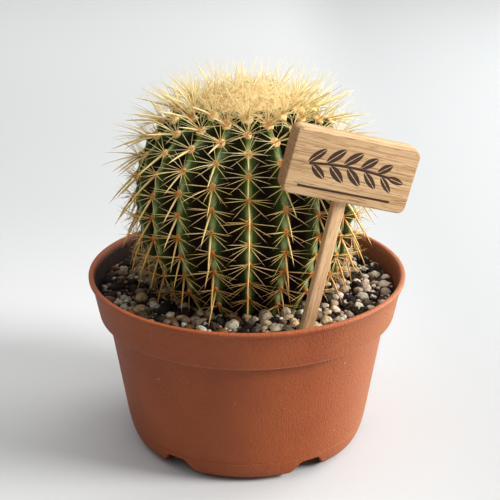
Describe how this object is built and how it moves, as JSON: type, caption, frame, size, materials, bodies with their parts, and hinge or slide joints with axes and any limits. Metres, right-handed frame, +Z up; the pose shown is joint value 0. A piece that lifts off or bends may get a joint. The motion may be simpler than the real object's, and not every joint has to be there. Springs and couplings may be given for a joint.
{
  "type": "potted round cactus",
  "caption": "Round ribbed cactus with golden spines in a terracotta-coloured plastic bowl pot of gritty mix, with a leaning wooden plant sign.",
  "frame": {"origin": "centre of the pot's foot ring, on the surface that the pot stands on", "axes": "+Z up along the pot's axis, -Y to the front, towards the sign's face"},
  "size_m": [0.17, 0.17, 0.2109],
  "materials": {
    "pot_plastic": "matt moulded plastic, terracotta colour, finely wrinkled",
    "potting_mix": "dark, porous potting mix",
    "cactus_skin": "waxy green skin, paler on the crests",
    "crown_wool": "dense cream felt",
    "spines": "straw-yellow spines with orange feet",
    "areole_felt": "orange-brown felt",
    "grit": "mixed tan, brown and dark grit",
    "perlite": "white porous grains",
    "board_wood": "pale, sanded wood with open grain along its length",
    "stake_wood": "pale, sawn wood"
  },
  "bodies": {
    "root": {"pot": "pot_plastic", "potting_mix": "potting_mix", "cactus": "cactus_skin", "crown_wool": "crown_wool", "sign_board": "board_wood", "sign_stake": "stake_wood"}
  },
  "joints": []
}
